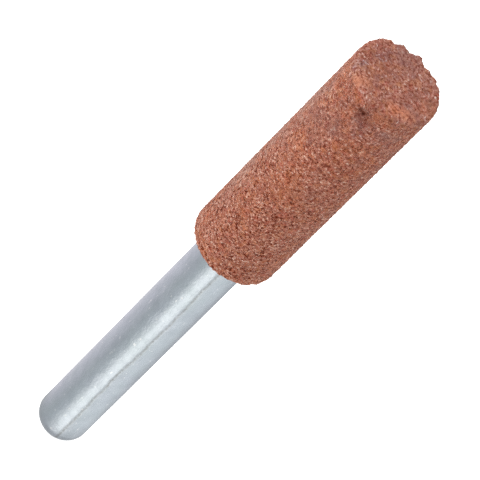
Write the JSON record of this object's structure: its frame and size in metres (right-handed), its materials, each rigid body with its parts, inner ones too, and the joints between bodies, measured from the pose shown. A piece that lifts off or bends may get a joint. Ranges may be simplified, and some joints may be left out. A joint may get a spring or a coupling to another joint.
{
  "type": "mounted point",
  "caption": "Cylindrical abrasive stone with a worn free end, cemented on a round steel shank, for grinding with a collet or chuck.",
  "frame": {"origin": "centre of the stone's back face, where the shank's shoulder seats and the clamped shank begins", "axes": "+Z along the spindle axis to the stone's free end; the shank runs to -Z; +Y is the side of the free end with the chipped rim"},
  "size_m": [0.01, 0.01, 0.0725],
  "materials": {
    "shank_steel": "satin, drawn along its length",
    "abrasive_stone": "matte, granular vitrified aluminium oxide",
    "cement": "matte mineral cement"
  },
  "bodies": {
    "root": {"shank": "shank_steel", "abrasive_head": "abrasive_stone", "bond_cement": "cement"}
  },
  "joints": []
}
